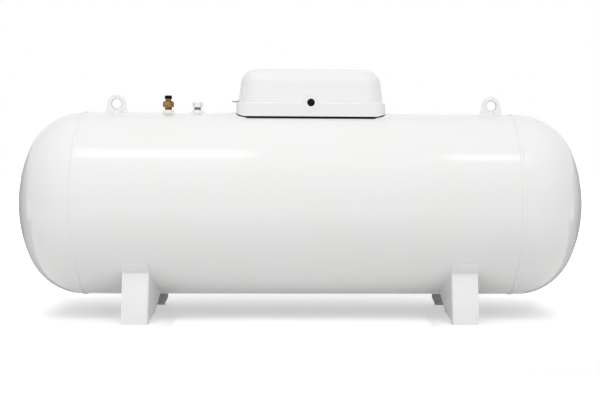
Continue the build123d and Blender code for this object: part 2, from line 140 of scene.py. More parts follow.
def sum_of_shares(tree, first, first_share, second, second_share):
    """Add two values, each times its own share."""
    first_part = maths(tree, "MULTIPLY", first, first_share)
    return maths(tree, "ADD", first_part, maths(tree, "MULTIPLY", second, second_share))


sprayed_coat, coat_in, coat_out = new_group(
    "sprayed_coat",
    {
        "Fresh": enamel_white, "Aged": enamel_aged_and_shaded, "Dull Low": 0.16, "Dull High": 0.24,
        "Peel Size": 320.0, "Peel": 0.012, "Plate Waves": 0.25, "Splash Height": 0.20,
    },
)
tree = sprayed_coat
coat_place = place_on(tree)
coat_height = axes_of(tree)["Z"]
coat_drift = noise(tree, coat_place, drift_scale, 4.0)
coat_specks = noise(tree, coat_place, speck_scale, 6.0)
# Painted shade: below its painted-shade height the coat blends towards the darker, warmer aged
# colour, more strongly nearer the ground, standing in for the shade and floor light on the lower
# surfaces. The dust specks vary how strong it is.
coat_reach = maths(tree, "DIVIDE", coat_height, coat_in["Splash Height"])
coat_painted_shade = spread(tree, coat_reach, 0.0, 1.0, painted_shade_at_ground, 0.0)
coat_film = spread(tree, coat_drift, 0.38, 0.72, 0.0, film_age)
coat_dust = spread(tree, coat_specks, 0.45, 0.8, 0.0, dust_age)
dusty_painted_shade = maths(tree, "ADD", coat_dust, 0.45)
dusty_film = maths(tree, "ADD", coat_dust, 0.6)
# The coat's colour mixes painted shade near the ground with a real random film and dust all over.
coat_age_and_shade = sum_of_shares(tree, coat_painted_shade, dusty_painted_shade, coat_film, dusty_film)
coat_colour = blend_colours(tree, coat_age_and_shade, coat_in["Fresh"], coat_in["Aged"])
feed(tree, coat_out["Colour"], coat_colour)
coat_dull = maths(tree, "ADD", spread(tree, coat_drift, 0.3, 0.7, 0.0, 0.7), coat_dust)
coat_rough = spread(tree, coat_dull, 0.0, 1.0, coat_in["Dull Low"], coat_in["Dull High"])
feed(tree, coat_out["Roughness"], coat_rough)
coat_peel = noise(tree, coat_place, coat_in["Peel Size"], 1.0)
coat_waves = noise(tree, coat_place, plate_wave_scale, 1.0)
coat_relief = sum_of_shares(tree, coat_peel, coat_in["Peel"], coat_waves, coat_in["Plate Waves"])
feed(tree, coat_out["Height"], coat_relief)


def new_finish(name, **sockets):
    """Start a material and return it with its tree and its shader, plain values set."""
    finish = bpy.data.materials.new(name)
    finish.use_nodes = True
    shader = finish.node_tree.nodes["Principled BSDF"]
    for label, value in sockets.items():
        feed(finish.node_tree, shader.inputs[label.replace("_", " ")], value)
    return finish, finish.node_tree, shader


def skinned(name, skin, relief, values, **sockets):
    """Make a finish with its colour, gloss and relief from a skin group."""
    finish, tree, shader = new_finish(name, **sockets)
    values = {label.replace("_", " "): value for label, value in values.items()}
    group = add_node(tree, "Group", values, node_tree=skin).outputs
    bump = add_node(tree, "Bump", {"Height": group["Height"], "Distance": relief})
    feed(tree, shader.inputs["Base Color"], group["Colour"])
    feed(tree, shader.inputs["Roughness"], group["Roughness"])
    feed(tree, shader.inputs["Normal"], bump.outputs["Normal"])
    return finish


def enamel(name, **values):
    """Make a sprayed white finish with its own peel, gloss and height of painted shade."""
    return skinned(name, sprayed_coat, enamel_relief, values)


def dress(piece, material):
    """Give a piece its finish, in place of any other."""
    piece.data.materials.clear()
    piece.data.materials.append(material)


shell_enamel = enamel("shell_enamel", Dull_Low=0.10, Dull_High=0.16, Peel=0.01, Plate_Waves=0.3)
for node in ("barrel", "head_left", "head_right"):
    dress(frame["nodes"][node], shell_enamel)


# Girth welds: one machine-laid bead over each butt joint, dressed and painted with the
# shell. Each drop of the weld leaves a low crescent, so the bead is a close row of ripples.
weld_left_x = -1.186
weld_right_x = 1.148
bead_half_width = 0.0135
bead_corners = 12
bead_foot_radius = 0.4985
bead_foot_flat = 0.2
bead_rise = 0.0041
bead_ripple_rise = 0.0004
bead_ripples = 520
steps_per_ripple = 4
crescent_turns = ((0.4, 0.004), (0.8, 0.003))
merge_reach = 0.00001


def finish_piece(name, material, body):
    """Name the active mesh, put its place into it, dress it and tie it to its body."""
    piece = bpy.context.object
    bpy.ops.object.transform_apply()
    piece.name = piece.data.name = name
    dress(piece, material)
    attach(piece, body)
    piece.select_set(False)
    return piece


def pick(kind, parts, wanted):
    """Select in edit mode only the corners or faces that pass a test."""
    bpy.ops.object.mode_set(mode="EDIT")
    bpy.ops.mesh.select_mode(type=kind)
    bpy.ops.mesh.select_all(action="DESELECT")
    bpy.ops.object.mode_set(mode="OBJECT")
    for part in parts:
        part.select = wanted(part)
    bpy.ops.object.mode_set(mode="EDIT")


def close_shell():
    """Merge doubles and turn every face outwards, in edit mode, then leave it."""
    bpy.ops.mesh.select_all(action="SELECT")
    bpy.ops.mesh.remove_doubles(threshold=merge_reach)
    bpy.ops.mesh.normals_make_consistent(inside=False)
    bpy.ops.object.mode_set(mode="OBJECT")


def ripple_step(place):
    """Count where a corner of the bead stands within its ripple."""
    turn = atan2(place.y, place.z - axis_height) / (2 * pi)
    return round(turn * bead_ripples * steps_per_ripple) % steps_per_ripple


weld_enamel = enamel(
    "weld_enamel", Dull_Low=0.18, Dull_High=0.30, Peel=0.02, Peel_Size=520.0, Plate_Waves=0.1
)
bead_foot = (weld_left_x, 0.0, axis_height + bead_foot_radius)
bead_axis = (weld_left_x, 0.0, axis_height)
bpy.ops.mesh.primitive_circle_add(
    vertices=bead_corners, radius=bead_half_width, location=bead_foot, rotation=(pi / 2, 0.0, 0.0)
)
bead = bpy.context.object
bpy.ops.object.transform_apply()
bpy.ops.object.mode_set(mode="EDIT")
bpy.ops.mesh.select_all(action="SELECT")
bpy.ops.transform.resize(value=(1.0, 1.0, bead_rise / bead_half_width), center_override=bead_foot)
pick("VERT", bead.data.vertices, lambda corner: corner.co.z < bead_foot[2] - 0.0001)
bpy.ops.transform.resize(value=(1.0, 1.0, bead_foot_flat), center_override=bead_foot)
bpy.ops.mesh.select_all(action="SELECT")
bpy.ops.mesh.spin(
    steps=bead_ripples * steps_per_ripple, angle=2 * pi, center=bead_axis, axis=(1.0, 0.0, 0.0)
)
close_shell()
for share, turn in crescent_turns:
    half = bead_half_width * share
    pick("VERT", bead.data.vertices, lambda corner: abs(corner.co.x - weld_left_x) < half)
    bpy.ops.transform.rotate(value=turn, orient_axis="X", center_override=bead_axis)
pick("VERT", bead.data.vertices, lambda corner: ripple_step(corner.co) == 0)
swell = 1.0 + bead_ripple_rise / (bead_foot_radius + bead_rise)
bpy.ops.transform.resize(value=(1.0, swell, swell), center_override=bead_axis)
bpy.ops.object.mode_set(mode="OBJECT")
bpy.ops.object.shade_smooth()
bpy.ops.object.duplicate()
bpy.context.object.location.x = weld_right_x - weld_left_x
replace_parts(finish_piece("girth_bead_right", weld_enamel, "tank"), "girth_weld_right")
bpy.context.view_layer.objects.active = bead
bead.select_set(True)
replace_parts(finish_piece("girth_bead_left", weld_enamel, "tank"), "girth_weld_left")


# Doubler pads: plates rolled to the shell that spread the load of each leg, welded all
# round. Their saw-cut edges are dressed with a grinder and painted with the shell.
pad_half_width = 0.071
pad_low = radians(27.0)
pad_high = radians(53.5)
pad_corner = 0.008
pad_edge = 0.0015
pad_bead_size = 0.0032
pad_bead_out = 0.0012
pad_bead_lift = 0.0022
leg_left_x = -0.873
leg_right_x = 0.859
fillet_ripple = 0.005
steps_per_drop = 4
bead_least = 0.9
drop_swell = 0.14
hand_wander = 0.05
wander_step = 0.61
corner_steps = 4
longest_run = 0.01
brushed_coat = dict(Dull_Low=0.17, Dull_High=0.27, Peel=0.015, Peel_Size=420.0, Plate_Waves=0.2)


def set_out(name, data):
    """Put a new object in the scene, active and selected."""
    piece = bpy.data.objects.new(name, data)
    bpy.context.scene.collection.objects.link(piece)
    bpy.context.view_layer.objects.active = piece
    piece.select_set(True)
    return piece


def round_edges(node, width, material, body, name=None):
    """Copy a solid, merge it and round its sharp edges, and let the copy stand for it."""
    name = name or node + "_dressed"
    piece = set_out(name, frame["nodes"][node].data.copy())
    bpy.ops.mesh.customdata_custom_splitnormals_clear()
    bpy.ops.object.mode_set(mode="EDIT")
    bpy.ops.mesh.select_all(action="SELECT")
    bpy.ops.mesh.remove_doubles(threshold=merge_reach)
    bpy.ops.mesh.dissolve_limited(angle_limit=radians(0.5))
    bpy.ops.object.mode_set(mode="OBJECT")
    edge = piece.modifiers.new("edge", "BEVEL")
    edge.width = width
    edge.segments = 2
    edge.limit_method = "ANGLE"
    edge.angle_limit = radians(40)
    bpy.ops.object.modifier_apply(modifier="edge")
    bpy.ops.object.shade_smooth_by_angle(angle=radians(35))
    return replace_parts(finish_piece(name, material, body), node)


def even_steps(route, step, closed):
    """Place points at equal steps along a route of straight runs."""
    runs = list(zip(route, route[1:] + route[:1] if closed else route[1:]))
    whole = sum((end - start).length for start, end in runs)
    count = max(4, round(whole / step))
    points = []
    passed = 0.0
    for start, end in runs:
        run = (end - start).length
        while len(points) * whole / count < passed + run and len(points) < count:
            share = (len(points) * whole / count - passed) / run
            points.append(start.lerp(end, share))
        passed += run
    return points if closed else points + [route[-1]]


def lay_bead(name, routes, size, closed=True):
    """Lay fillet welds along routes: round beads that swell with each drop of weld."""
    line = bpy.data.curves.new(name, "CURVE")
    line.dimensions = "3D"
    line.bevel_depth = size
    line.bevel_resolution = 1
    line.use_fill_caps = True
    for route in routes:
        points = even_steps(route, fillet_ripple / steps_per_drop, closed)
        spline = line.splines.new("POLY")
        spline.points.add(len(points) - 1)
        spline.use_cyclic_u = closed
        for count, (point, place) in enumerate(zip(spline.points, points)):
            point.co = (*place, 1.0)
            swelling = 1.0 - abs(2 * (count % steps_per_drop) / steps_per_drop - 1.0)
            wander = sin(count * wander_step) * hand_wander
            point.radius = bead_least + drop_swell * swelling + wander
    set_out(name, line)
    bpy.ops.object.convert(target="MESH")
    bpy.ops.object.mode_set(mode="EDIT")
    close_shell()
    bpy.ops.object.shade_smooth_by_angle(angle=radians(60))
    return finish_piece(name, weld_enamel, "tank")


def rounded_loop(half_width, low, high, corner):
    """Return the outline of an upright rectangle with rounded corners, about u = 0."""
    loop = []
    for u, v, start in (
        (half_width - corner, high - corner, 0),
        (corner - half_width, high - corner, 90),
        (corner - half_width, low + corner, 180),
        (half_width - corner, low + corner, 270),
    ):
        for step in range(corner_steps + 1):
            turn = radians(start + 90 / corner_steps * step)
            loop.append((u + corner * cos(turn), v + corner * sin(turn)))
    return loop


def finely(points):
    """Divide the long runs of a flat loop, so that it can follow the shell."""
    fine = []
    for (u, v), (next_u, next_v) in zip(points, points[1:] + points[:1]):
        count = max(1, int(sqrt((next_u - u) ** 2 + (next_v - v) ** 2) / longest_run))
        for step in range(count):
            fine.append((u + (next_u - u) * step / count, v + (next_v - v) * step / count))
    return fine


pad_enamel = enamel("pad_enamel", **brushed_coat)
legs = {
    "front_left": (leg_left_x, 1, 1),
    "front_right": (leg_right_x, -1, 1),
    "rear_left": (leg_left_x, 1, -1),
    "rear_right": (leg_right_x, -1, -1),
}
pad_outline = rounded_loop(
    pad_half_width + pad_bead_out,
    pad_low * tank_radius - pad_bead_out,
    pad_high * tank_radius + pad_bead_out,
    pad_corner,
)
pad_bead_reach = tank_radius + pad_bead_lift
for place, (leg_x, inward, row) in legs.items():
    round_edges(f"leg_pad_{place}", pad_edge, pad_enamel, "tank")
    loop = []
    for u, v in finely(pad_outline):
        out = -row * pad_bead_reach * sin(v / tank_radius)
        loop.append(Vector((leg_x + u, out, axis_height - pad_bead_reach * cos(v / tank_radius))))
    lay_bead(f"pad_bead_{place}", [loop], pad_bead_size)


# Legs: each is one 8 mm plate, cut to shape, folded once and leant in against its pad.
# The narrow inner web is trimmed to the shell's curve. Welds join it to pad and shell.
leg_half_width = 0.069
leg_thickness = 0.008
leg_outer_y = 0.433
leg_lean = radians(13.0)
leg_edge = 0.0012
leg_weld_half = 0.056
leg_weld_in = 0.001
web_flare = radians(13.3)
web_weld_from = 0.016
web_depth = 0.196
web_weld_steps = 29
leg_bead_size = 0.0035
foot_thickness = 0.012
foot_edge = 0.001
pad_outer_radius = 0.5062


def leg_meets(depth, reach):
    """Find the Y and height where the leg, at a depth behind its face, meets the shell."""
    height = 0.2
    for _ in range(40):
        y = leg_outer_y - height * tan(leg_lean) - depth
        height = axis_height - sqrt(reach**2 - y**2)
    return y, height


# The legs take painted shade within 60 mm of the ground, darkening the foot plates and the feet of
# the legs.
leg_enamel = enamel(
    "leg_enamel",
    Fresh=(0.88, 0.88, 0.875), Aged=(0.84, 0.835, 0.82), Dull_Low=0.18, Dull_High=0.26,
    Peel=0.02, Peel_Size=380.0, Plate_Waves=0.15, Splash_Height=0.06,
)
for place, (leg_x, inward, row) in legs.items():
    round_edges(f"leg_{place}", leg_edge, leg_enamel, "tank")
    round_edges(f"foot_plate_{place}", foot_edge, leg_enamel, "tank")
    y, height = leg_meets(0.0, pad_outer_radius)
    weld_ends = [leg_x + side * leg_weld_half for side in (-1, 1)]
    top_run = [Vector((x, -row * (y + leg_weld_in), height + 0.0005)) for x in weld_ends]
    inner_y = leg_outer_y - leg_thickness - leg_weld_in
    inner_run = [Vector((x, -row * inner_y, foot_thickness)) for x in weld_ends]
    web_run = []
    for step in range(web_weld_steps + 1):
        depth = web_weld_from + (web_depth - web_weld_from) * step / web_weld_steps
        y, height = leg_meets(depth, tank_radius)
        out = leg_half_width + depth * tan(web_flare)
        web_run.append(Vector((leg_x + inward * out, -row * y, height - leg_weld_in)))
    lay_bead(f"leg_bead_{place}", [top_run, web_run, inner_run], leg_bead_size, closed=False)


# Lifting lugs: upright 12 mm plates on the crest with a shackle eye and a drain notch.
# Each is welded along both faces, on both sides of the notch. Shackles have rubbed the paint
# off the wall of the eye, down to dark steel.
lugs = {"left": -1.024, "right": 1.048}
lug_half_base = 0.0605
lug_half_thickness = 0.006
lug_notch = 0.0145
lug_bead_size = 0.004
lug_bead_out = 0.001
lug_bead_lift = 0.0003
lug_eye_z = 1.162
lug_eye_radius = 0.027
rubbed_full = lug_eye_radius + 0.0008
rubbed_end = lug_eye_radius + 0.0026
rubbed_steel = (0.16, 0.155, 0.15)
lug_enamel = enamel("lug_enamel", **brushed_coat)
tree = lug_enamel.node_tree
base_colour = tree.nodes["Principled BSDF"].inputs["Base Color"]
lug_axes = axes_of(tree)
lugs_middle = (lugs["left"] + lugs["right"]) / 2
lugs_apart = (lugs["right"] - lugs["left"]) / 2
from_middle = maths(tree, "ABSOLUTE", maths(tree, "SUBTRACT", lug_axes["X"], lugs_middle))
eye_across = maths(tree, "SUBTRACT", from_middle, lugs_apart)
eye_up = maths(tree, "SUBTRACT", lug_axes["Z"], lug_eye_z)
eye_squares = sum_of_shares(tree, eye_across, eye_across, eye_up, eye_up)
eye_reach = maths(tree, "POWER", eye_squares, 0.5)
rubbed = spread(tree, eye_reach, rubbed_full, rubbed_end, 1.0, 0.0)
painted = base_colour.links[0].from_socket
feed(tree, base_colour, blend_colours(tree, rubbed, painted, rubbed_steel))
for side_name, lug_x in lugs.items():
    round_edges(f"lifting_lug_{side_name}", leg_edge, lug_enamel, "tank")
    runs = []
    for side in (-1, 1):
        near = side * lug_notch
        far = side * (lug_half_base + lug_bead_out)
        out = lug_half_thickness + lug_bead_out
        corners = ((near, -out), (far, -out), (far, out), (near, out))
        runs.append([Vector((lug_x + x, y, crest_z + lug_bead_lift)) for x, y in corners])
    lay_bead(f"lug_bead_{side_name}", runs, lug_bead_size, closed=False)


# Couplings: short threaded steel sockets set on the crest and welded round, for the
# relief valve, the plugged fitting and the three valves under the hood.
relief_x = -0.741
plug_x = -0.580
gauge_x = -0.186
fill_x = 0.014
service_x = 0.234
coupling_edge = 0.001
coupling_bead_size = 0.003
coupling_bead_out = 0.0008
ring_steps = 48
crest_weld_lift = 0.001


def on_crest(x, y):
    """Return a place on the upper half of the shell, at the height of a weld."""
    return Vector((x, y, axis_height + sqrt((tank_radius + crest_weld_lift) ** 2 - y * y)))


def ring_on_crest(x, radius):
    """Return a round route on the crest of the shell."""
    turns = [2 * pi * step / ring_steps for step in range(ring_steps)]
    return [on_crest(x + radius * cos(turn), radius * sin(turn)) for turn in turns]


for node, places, radius in (
    ("relief_coupling", (relief_x,), 0.0305),
    ("plug_coupling", (plug_x,), 0.0330),
    ("valve_couplings", (gauge_x, fill_x, service_x), 0.0380),
):
    round_edges(node, coupling_edge, pad_enamel, "tank")
    rings = [ring_on_crest(x, radius + coupling_bead_out) for x in places]
    lay_bead(f"{node}_bead", rings, coupling_bead_size)


# Relief valve: a turned brass body with a hexagon for the spanner, screwed into its
# coupling, under a loose black rain cap that the gas would blow off.
coupling_top_z = crest_z + 0.014
relief_neck_radius = 0.0195
relief_hex_radius = 0.0305
relief_hex_z = 0.016
relief_hex_height = 0.030
relief_cap_z = 0.0602
hexagon_chamfer = radians(30)
thread_pitch = 0.0025
thread_steps = 40
metal_relief = 0.0004
moulded_relief = 0.0003
upright = (0.0, 0.0, 0.0)


def set_down(piece, place, tilt):
    """Move a piece from the origin to its seat, and turn it as it sits."""
    piece.location = place
    piece.rotation_euler = tilt
    bpy.ops.object.transform_apply()
    return piece


def turned(rings, place, tilt=upright, sides=64, low=0.0):
    """Turn a round piece: a disc first, then each next ring drawn out of the last one."""
    radius, height = rings[0][0], low + rings[0][1]
    bpy.ops.mesh.primitive_circle_add(
        vertices=sides, radius=radius, location=(0.0, 0.0, height), fill_type="NGON"
    )
    bpy.ops.object.transform_apply()
    bpy.ops.object.mode_set(mode="EDIT")
    bpy.ops.mesh.select_mode(type="FACE")
    bpy.ops.mesh.select_all(action="SELECT")
    for next_radius, above_low in rings[1:]:
        next_height = low + above_low
        bpy.ops.mesh.extrude_region_move(
            TRANSFORM_OT_translate={"value": (0.0, 0.0, next_height - height)}
        )
        growth = next_radius / radius
        middle = (0.0, 0.0, next_height)
        bpy.ops.transform.resize(value=(growth, growth, 1.0), center_override=middle)
        radius, height = next_radius, next_height
    close_shell()
    piece = set_down(bpy.context.object, place, tilt)
    bpy.ops.object.shade_smooth_by_angle(angle=radians(35))
    return piece


def combine(kind, piece, cutter):
    """Cut one solid with another, or keep what they share, and drop the cutter."""
    step = piece.modifiers.new(kind, "BOOLEAN")
    step.operation = kind
    step.solver = "EXACT"
    step.object = cutter
    bpy.ops.object.select_all(action="DESELECT")
    bpy.context.view_layer.objects.active = piece
    piece.select_set(True)
    bpy.ops.object.modifier_apply(modifier=kind)
    bpy.data.objects.remove(cutter)
    bpy.ops.object.shade_smooth_by_angle(angle=radians(25))
    return piece


def hexagon(radius, low, height, place, tilt=upright):
    """Cut a hexagon bar to length and turn its corners off at both ends."""
    shorter = radius * 0.88
    rise = (radius - shorter) * tan(hexagon_chamfer)
    rings = ((shorter, 0.0), (radius, rise), (radius, height - rise), (shorter, height))
    corners_off = turned(rings, upright, sides=96, low=low)
    bpy.ops.object.select_all(action="DESELECT")
    middle, turn = (0.0, 0.0, low + height / 2), (0.0, 0.0, pi / 2)
    bpy.ops.mesh.primitive_cylinder_add(
        vertices=6, radius=radius * 1.0005, depth=height, location=middle, rotation=turn
    )
    bpy.ops.object.transform_apply()
    return set_down(combine("INTERSECT", bpy.context.object, corners_off), place, tilt)


def thread(radius, low, turns, place, tilt=upright):
    """Wind a three-sided ridge up a neck, as a screw thread."""
    start, turn = (radius, 0.0, low), (pi / 2, 0.0, 0.0)
    bpy.ops.mesh.primitive_circle_add(
        vertices=3, radius=thread_pitch * 0.55, location=start, rotation=turn
    )
    bpy.ops.object.transform_apply()
    ridge = bpy.context.object
    winding = ridge.modifiers.new("winding", "SCREW")
    winding.screw_offset = thread_pitch
    winding.iterations = turns
    winding.steps = winding.render_steps = thread_steps
    bpy.ops.object.modifier_apply(modifier="winding")
    bpy.ops.object.mode_set(mode="EDIT")
    bpy.ops.mesh.select_all(action="SELECT")
    bpy.ops.mesh.fill_holes(sides=3)
    close_shell()
    set_down(ridge, place, tilt)
    bpy.ops.object.shade_smooth_by_angle(angle=radians(20))
    return ridge


def join_parts(parts):
    """Make one piece of several closed parts, the first one kept active."""
    bpy.ops.object.select_all(action="DESELECT")
    for part in parts:
        part.select_set(True)
    bpy.context.view_layer.objects.active = parts[0]
    bpy.ops.object.join()


machined_skin, skin_in, skin_out = new_group(
    "machined_skin",
    {
        "Bright": (0.75, 0.50, 0.22), "Tarnished": (0.36, 0.21, 0.08), "Dull Low": 0.22,
        "Dull High": 0.42, "Tool Marks": 0.15, "Stain Size": 60.0,
    },
)
tree = machined_skin
skin_place = place_on(tree)
skin_stain = noise(tree, skin_place, skin_in["Stain Size"], 5.0, Roughness=0.6)
skin_tarnish = spread(tree, skin_stain, 0.42, 0.68, 0.0, 0.8)
skin_colour = blend_colours(tree, skin_tarnish, skin_in["Bright"], skin_in["Tarnished"])
feed(tree, skin_out["Colour"], skin_colour)
skin_rough = spread(tree, skin_tarnish, 0.0, 1.0, skin_in["Dull Low"], skin_in["Dull High"])
feed(tree, skin_out["Roughness"], skin_rough)
skin_lines = add_node(
    tree,
    "TexWave",
    {"Vector": skin_place, "Scale": 320.0, "Distortion": 1.5, "Detail": 1.0},
    bands_direction="Z",
).outputs["Fac"]
skin_relief = sum_of_shares(tree, skin_lines, skin_in["Tool Marks"], skin_stain, 0.1)
feed(tree, skin_out["Height"], skin_relief)


def metal(name, **values):
    """Make a bare metal finish with its own tarnish and tool marks."""
    return skinned(name, machined_skin, metal_relief, values, Metallic=1.0)


def moulded(name, colour, dusty, dull, dusty_dull, grain_size, grain, **sockets):
    """Make a moulded plastic or rubber finish: fine grain, with a little dust in it."""
    finish, tree, shader = new_finish(name, **sockets)
    place = place_on(tree)
    settled = spread(tree, noise(tree, place, 35.0, 5.0), 0.45, 0.75, 0.0, 1.0)
    texture = noise(tree, place, grain_size, 2.0)
    bump = add_node(
        tree, "Bump", {"Height": texture, "Distance": moulded_relief, "Strength": grain}
    )
    feed(tree, shader.inputs["Base Color"], blend_colours(tree, settled, colour, dusty))
    feed(tree, shader.inputs["Roughness"], spread(tree, settled, 0.0, 1.0, dull, dusty_dull))
    feed(tree, shader.inputs["Normal"], bump.outputs["Normal"])
    return finish


brass = metal("brass", Bright=(0.37, 0.225, 0.09), Tarnished=(0.13, 0.075, 0.03))
black_moulding = moulded(
    "black_moulding",
    colour=(0.003, 0.003, 0.0025), dusty=(0.010, 0.010, 0.008), dull=0.28, dusty_dull=0.45,
    grain_size=900.0, grain=0.3, Specular_IOR_Level=0.08,
)
relief_seat = (relief_x, 0.0, coupling_top_z)
stem_rings = (
    (relief_neck_radius, -0.006), (relief_neck_radius, 0.015), (0.0245, 0.0152), (0.0245, 0.0165)
)
stem = turned(stem_rings, relief_seat)
screw = thread(relief_neck_radius, -0.002, 5, relief_seat)
nut = hexagon(relief_hex_radius, relief_hex_z, relief_hex_height, relief_seat)
shoulder_rings = (
    (0.0250, 0.0455), (0.0250, 0.0475), (0.0215, 0.0490), (0.0175, 0.0520), (0.0155, 0.0525),
    (0.0155, 0.0545), (0.0145, 0.0550), (0.0145, 0.0570), (0.0155, 0.0575), (0.0155, 0.0620),
)
shoulder = turned(shoulder_rings, relief_seat)
join_parts([nut, stem, screw, shoulder])
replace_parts(finish_piece("relief_body", brass, "tank"), "relief_valve")
cap_rings = (
    (0.0165, 0.0015), (0.0165, 0.0), (0.0190, 0.0), (0.0200, 0.0010), (0.0200, 0.0155),
    (0.0194, 0.0178), (0.0180, 0.0192), (0.0165, 0.0197), (0.0150, 0.0197), (0.0145, 0.0190),
    (0.0040, 0.0190),
)
turned(cap_rings, relief_seat, sides=72, low=relief_cap_z)
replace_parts(finish_piece("relief_rain_cap", black_moulding, "tank"), "relief_cap")


# Plugged fitting: a hexagon plug screwed into the second coupling with thread sealant.
# Its head is painted with the shell, and its threads stay bare and dark.
plug_seat = (plug_x, 0.0, coupling_top_z)
plug_neck_radius = 0.0175
plug_neck_height = 0.015
plug_hex_radius = 0.028
plug_hex_height = 0.027
plug_top = plug_neck_height + plug_hex_height
dark_steel = metal(
    "dark_steel",
    Bright=(0.50, 0.51, 0.52), Tarnished=(0.26, 0.26, 0.26),
    Dull_Low=0.40, Dull_High=0.60,
)
head = hexagon(plug_hex_radius, plug_neck_height, plug_hex_height, plug_seat)
dish = turned(((0.0130, 0.001), (0.0110, -0.004)), plug_seat, low=plug_top)
combine("DIFFERENCE", head, dish)
finish_piece("plug_head", pad_enamel, "tank")
neck_rings = ((plug_neck_radius, -0.006), (plug_neck_radius, plug_neck_height + 0.002))
neck = turned(neck_rings, plug_seat)
join_parts([neck, thread(plug_neck_radius + 0.0003, -0.001, 6, plug_seat)])
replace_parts(finish_piece("plug_neck", dark_steel, "tank"), "plug")


# Contents gauge: a zinc-plated flange held by four bolts on the first coupling, with a
# black dial housing, a white dial marked in percent and a clear lens.
valve_coupling_top_z = crest_z + 0.020
gauge_seat = (gauge_x, 0.0, valve_coupling_top_z)
gauge_flange_height = 0.012
gauge_bolt_circle = 0.032
gauge_washer = 0.0008
dial_low = 0.0122
dial_radius = 0.024
dial_start = 225
dial_sweep = 270
dial_figures = 0.64
ticks_per_figure = 5
print_thickness = 0.0002
lens_gap = 0.0018
percent = ("0", "20", "40", "60", "80")
percent_now = 0.7
zinc = metal(
    "zinc",
    Bright=(0.60, 0.61, 0.62), Tarnished=(0.38, 0.38, 0.37),
    Dull_Low=0.30, Dull_High=0.50, Tool_Marks=0.05, Stain_Size=120.0,
)
dial_white = moulded("dial_white", (0.85, 0.85, 0.83), (0.78, 0.77, 0.72), 0.35, 0.5, 700.0, 0.05)
dial_print = moulded("dial_print", (0.015, 0.015, 0.015), (0.04, 0.04, 0.04), 0.4, 0.5, 700.0, 0.05)
needle_red = moulded("needle_red", (0.55, 0.03, 0.02), (0.45, 0.05, 0.03), 0.3, 0.45, 700.0, 0.05)
lens_clear = moulded(
    "lens_clear",
    colour=(0.97, 0.98, 0.98), dusty=(0.93, 0.94, 0.93), dull=0.02, dusty_dull=0.08,
    grain_size=60.0, grain=0.02, Transmission_Weight=1.0, IOR=1.49,
)


def fit_dial(name, place, angles, case, rim, face_back, lens_edge, numbers, shown):
    """Set a face with ticks, numbers and a needle in a case, under a domed lens."""
    tilt = Matrix.Rotation(angles[0], 3, "X")
    centre = Vector(place) + tilt @ Vector((0.0, 0.0, 0.0001))
    face = rim - 0.0001
    radius = rim - 0.0009

    def dial_turn(share):
        return radians(dial_start - dial_sweep * share)

    def set_on_dial(part, turn, reach, lift, along):
        spot = centre + tilt @ Vector((reach * cos(turn), reach * sin(turn), lift))
        facing = tilt @ Matrix.Rotation(turn, 3, "Z") if along else tilt
        return set_down(part, spot, facing.to_euler())

    turned(((face, -face_back), (face, 0.0), (face - 0.0004, 0.0001)), place, angles)
    finish_piece(f"{name}_face", dial_white, "tank")
    parts = []
    count = (len(numbers) - 1) * ticks_per_figure
    for step in range(count + 1):
        long_tick = step % ticks_per_figure == 0
        length = 0.10 if long_tick else 0.06
        bpy.ops.mesh.primitive_cube_add(size=1.0)
        tick = bpy.context.object
        tick.scale = (radius * length, radius * (0.035 if long_tick else 0.018), print_thickness)
        bpy.ops.object.transform_apply()
        middle = radius * (0.92 - length / 2)
        parts.append(set_on_dial(tick, dial_turn(step / count), middle, print_thickness / 2, True))
    for step, number in enumerate(numbers):
        bpy.ops.object.text_add()
        figure = bpy.context.object
        figure.data.body = number
        figure.data.size = radius * 0.26
        figure.data.align_x = figure.data.align_y = "CENTER"
        figure.data.extrude = print_thickness / 2
        figure.data.resolution_u = 3
        bpy.ops.object.convert(target="MESH")
        turn = dial_turn(step / (len(numbers) - 1))
        parts.append(set_on_dial(figure, turn, radius * dial_figures, print_thickness / 2, False))
    join_parts(parts)
    finish_piece(f"{name}_print", dial_print, "tank")
    boss_rings = ((radius * 0.10, 0.0), (radius * 0.10, 0.0012), (radius * 0.06, 0.0016))
    boss = turned(boss_rings, centre, angles)
    bpy.ops.mesh.primitive_cone_add(
        vertices=4, radius1=radius * 0.05, radius2=radius * 0.008, depth=radius * 0.86
    )
    pointer = bpy.context.object
    pointer.scale = (0.25, 1.0, 1.0)
    pointer.rotation_euler = (0.0, pi / 2, 0.0)
    bpy.ops.object.transform_apply()
    set_on_dial(pointer, dial_turn(shown), radius * 0.36, 0.0008, True)
    join_parts([boss, pointer])
    finish_piece(f"{name}_needle", needle_red, "tank")
    dome = ((case * 0.6, lens_edge + 0.0007), (case * 0.2, lens_edge + 0.0010))
    turned(((rim, 0.0), (rim, lens_edge), *dome), place, angles, low=lens_gap)
    finish_piece(f"{name}_lens", lens_clear, "tank")


flange_rings = ((0.0430, 0.0002), (0.0440, 0.0012), (0.0440, 0.011), (0.0430, gauge_flange_height))
gauge_parts = [turned(flange_rings, gauge_seat)]
for step in range(4):
    turn = radians(45 + 90 * step)
    across, along = gauge_bolt_circle * cos(turn), gauge_bolt_circle * sin(turn)
    bolt_place = (gauge_x + across, along, gauge_seat[2])
    gauge_parts.append(hexagon(0.0040, gauge_flange_height + gauge_washer, 0.0040, bolt_place))
    washer_rings = ((0.0050, 0.0), (0.0050, gauge_washer))
    gauge_parts.append(turned(washer_rings, bolt_place, low=gauge_flange_height))
join_parts(gauge_parts)
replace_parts(finish_piece("gauge_plate", zinc, "tank"), "gauge_flange")
housing_rings = (
    (0.0225, 0.0), (0.0235, 0.0010), (0.0235, 0.0085), (dial_radius, 0.0090), (dial_radius, 0.0128),
    (0.0232, 0.0136), (0.0215, 0.0136), (0.0210, 0.0105),
)
turned(housing_rings, gauge_seat, low=dial_low)
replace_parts(finish_piece("gauge_housing", black_moulding, "tank"), "gauge_dial")
gauge_face = (gauge_x, 0.0, gauge_seat[2] + dial_low + 0.0107)
gauge_rim = dial_radius - 0.0031
fit_dial("gauge", gauge_face, upright, dial_radius, gauge_rim, 0.0004, 0.0006, percent, percent_now)


